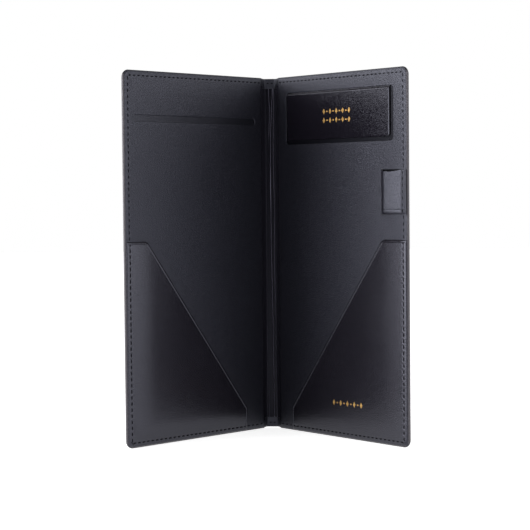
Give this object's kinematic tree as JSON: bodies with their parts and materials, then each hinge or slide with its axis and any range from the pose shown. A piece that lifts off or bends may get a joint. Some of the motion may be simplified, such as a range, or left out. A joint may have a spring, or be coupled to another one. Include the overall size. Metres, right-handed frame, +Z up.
{
  "type": "guest check presenter",
  "caption": "Leather folder with two stiff covers on a soft spine, with slanted corner pockets, a check slot, a card pocket and a pen loop inside.",
  "frame": {"origin": "middle of the bottom of the bounding box, on the surface that the presenter stands on", "axes": "+Z up along the spine; the spine is at +Y and the inside opens towards -Y; +X to the right as seen from the inside"},
  "size_m": [0.1908, 0.107, 0.254],
  "materials": {
    "cover_leather": "fine grain, semi-matte",
    "lining_leather": "fine grain, matte",
    "smooth_leather": "smooth, satin",
    "thread": "waxed black thread",
    "grey_board": "pressed paper board",
    "backing_cloth": "thin black cloth",
    "gold_foil": "hot-stamped gold foil"
  },
  "bodies": {
    "spine": {"spine_leather": "cover_leather", "spine_lining": "lining_leather", "spine_stitching": "thread"},
    "left_cover": {"left_cover_leather": "cover_leather", "left_board": "grey_board", "left_lining": "lining_leather", "left_hinge_lining": "lining_leather", "left_pocket": "smooth_leather", "check_slot_backing": "backing_cloth", "left_inner_stitching": "thread", "left_outer_stitching": "thread"},
    "right_cover": {"right_cover_leather": "cover_leather", "right_board": "grey_board", "right_lining": "lining_leather", "right_hinge_lining": "lining_leather", "right_pocket": "smooth_leather", "card_pocket_front": "smooth_leather", "card_pocket_backing": "backing_cloth", "card_pocket_foil": "gold_foil", "pocket_foil": "gold_foil", "pen_loop": "smooth_leather", "right_inner_stitching": "thread", "right_outer_stitching": "thread"}
  },
  "joints": [
    {"name": "left_fold", "type": "hinge", "parent": "spine", "child": "left_cover", "pos_m": [-0.004, 0.05311, 0.127], "axis": [0, 0, 1], "range_deg": [-49, 40.5]},
    {"name": "right_fold", "type": "hinge", "parent": "spine", "child": "right_cover", "pos_m": [0.004, 0.05311, 0.127], "axis": [0, 0, -1], "range_deg": [-49, 40.5]}
  ]
}
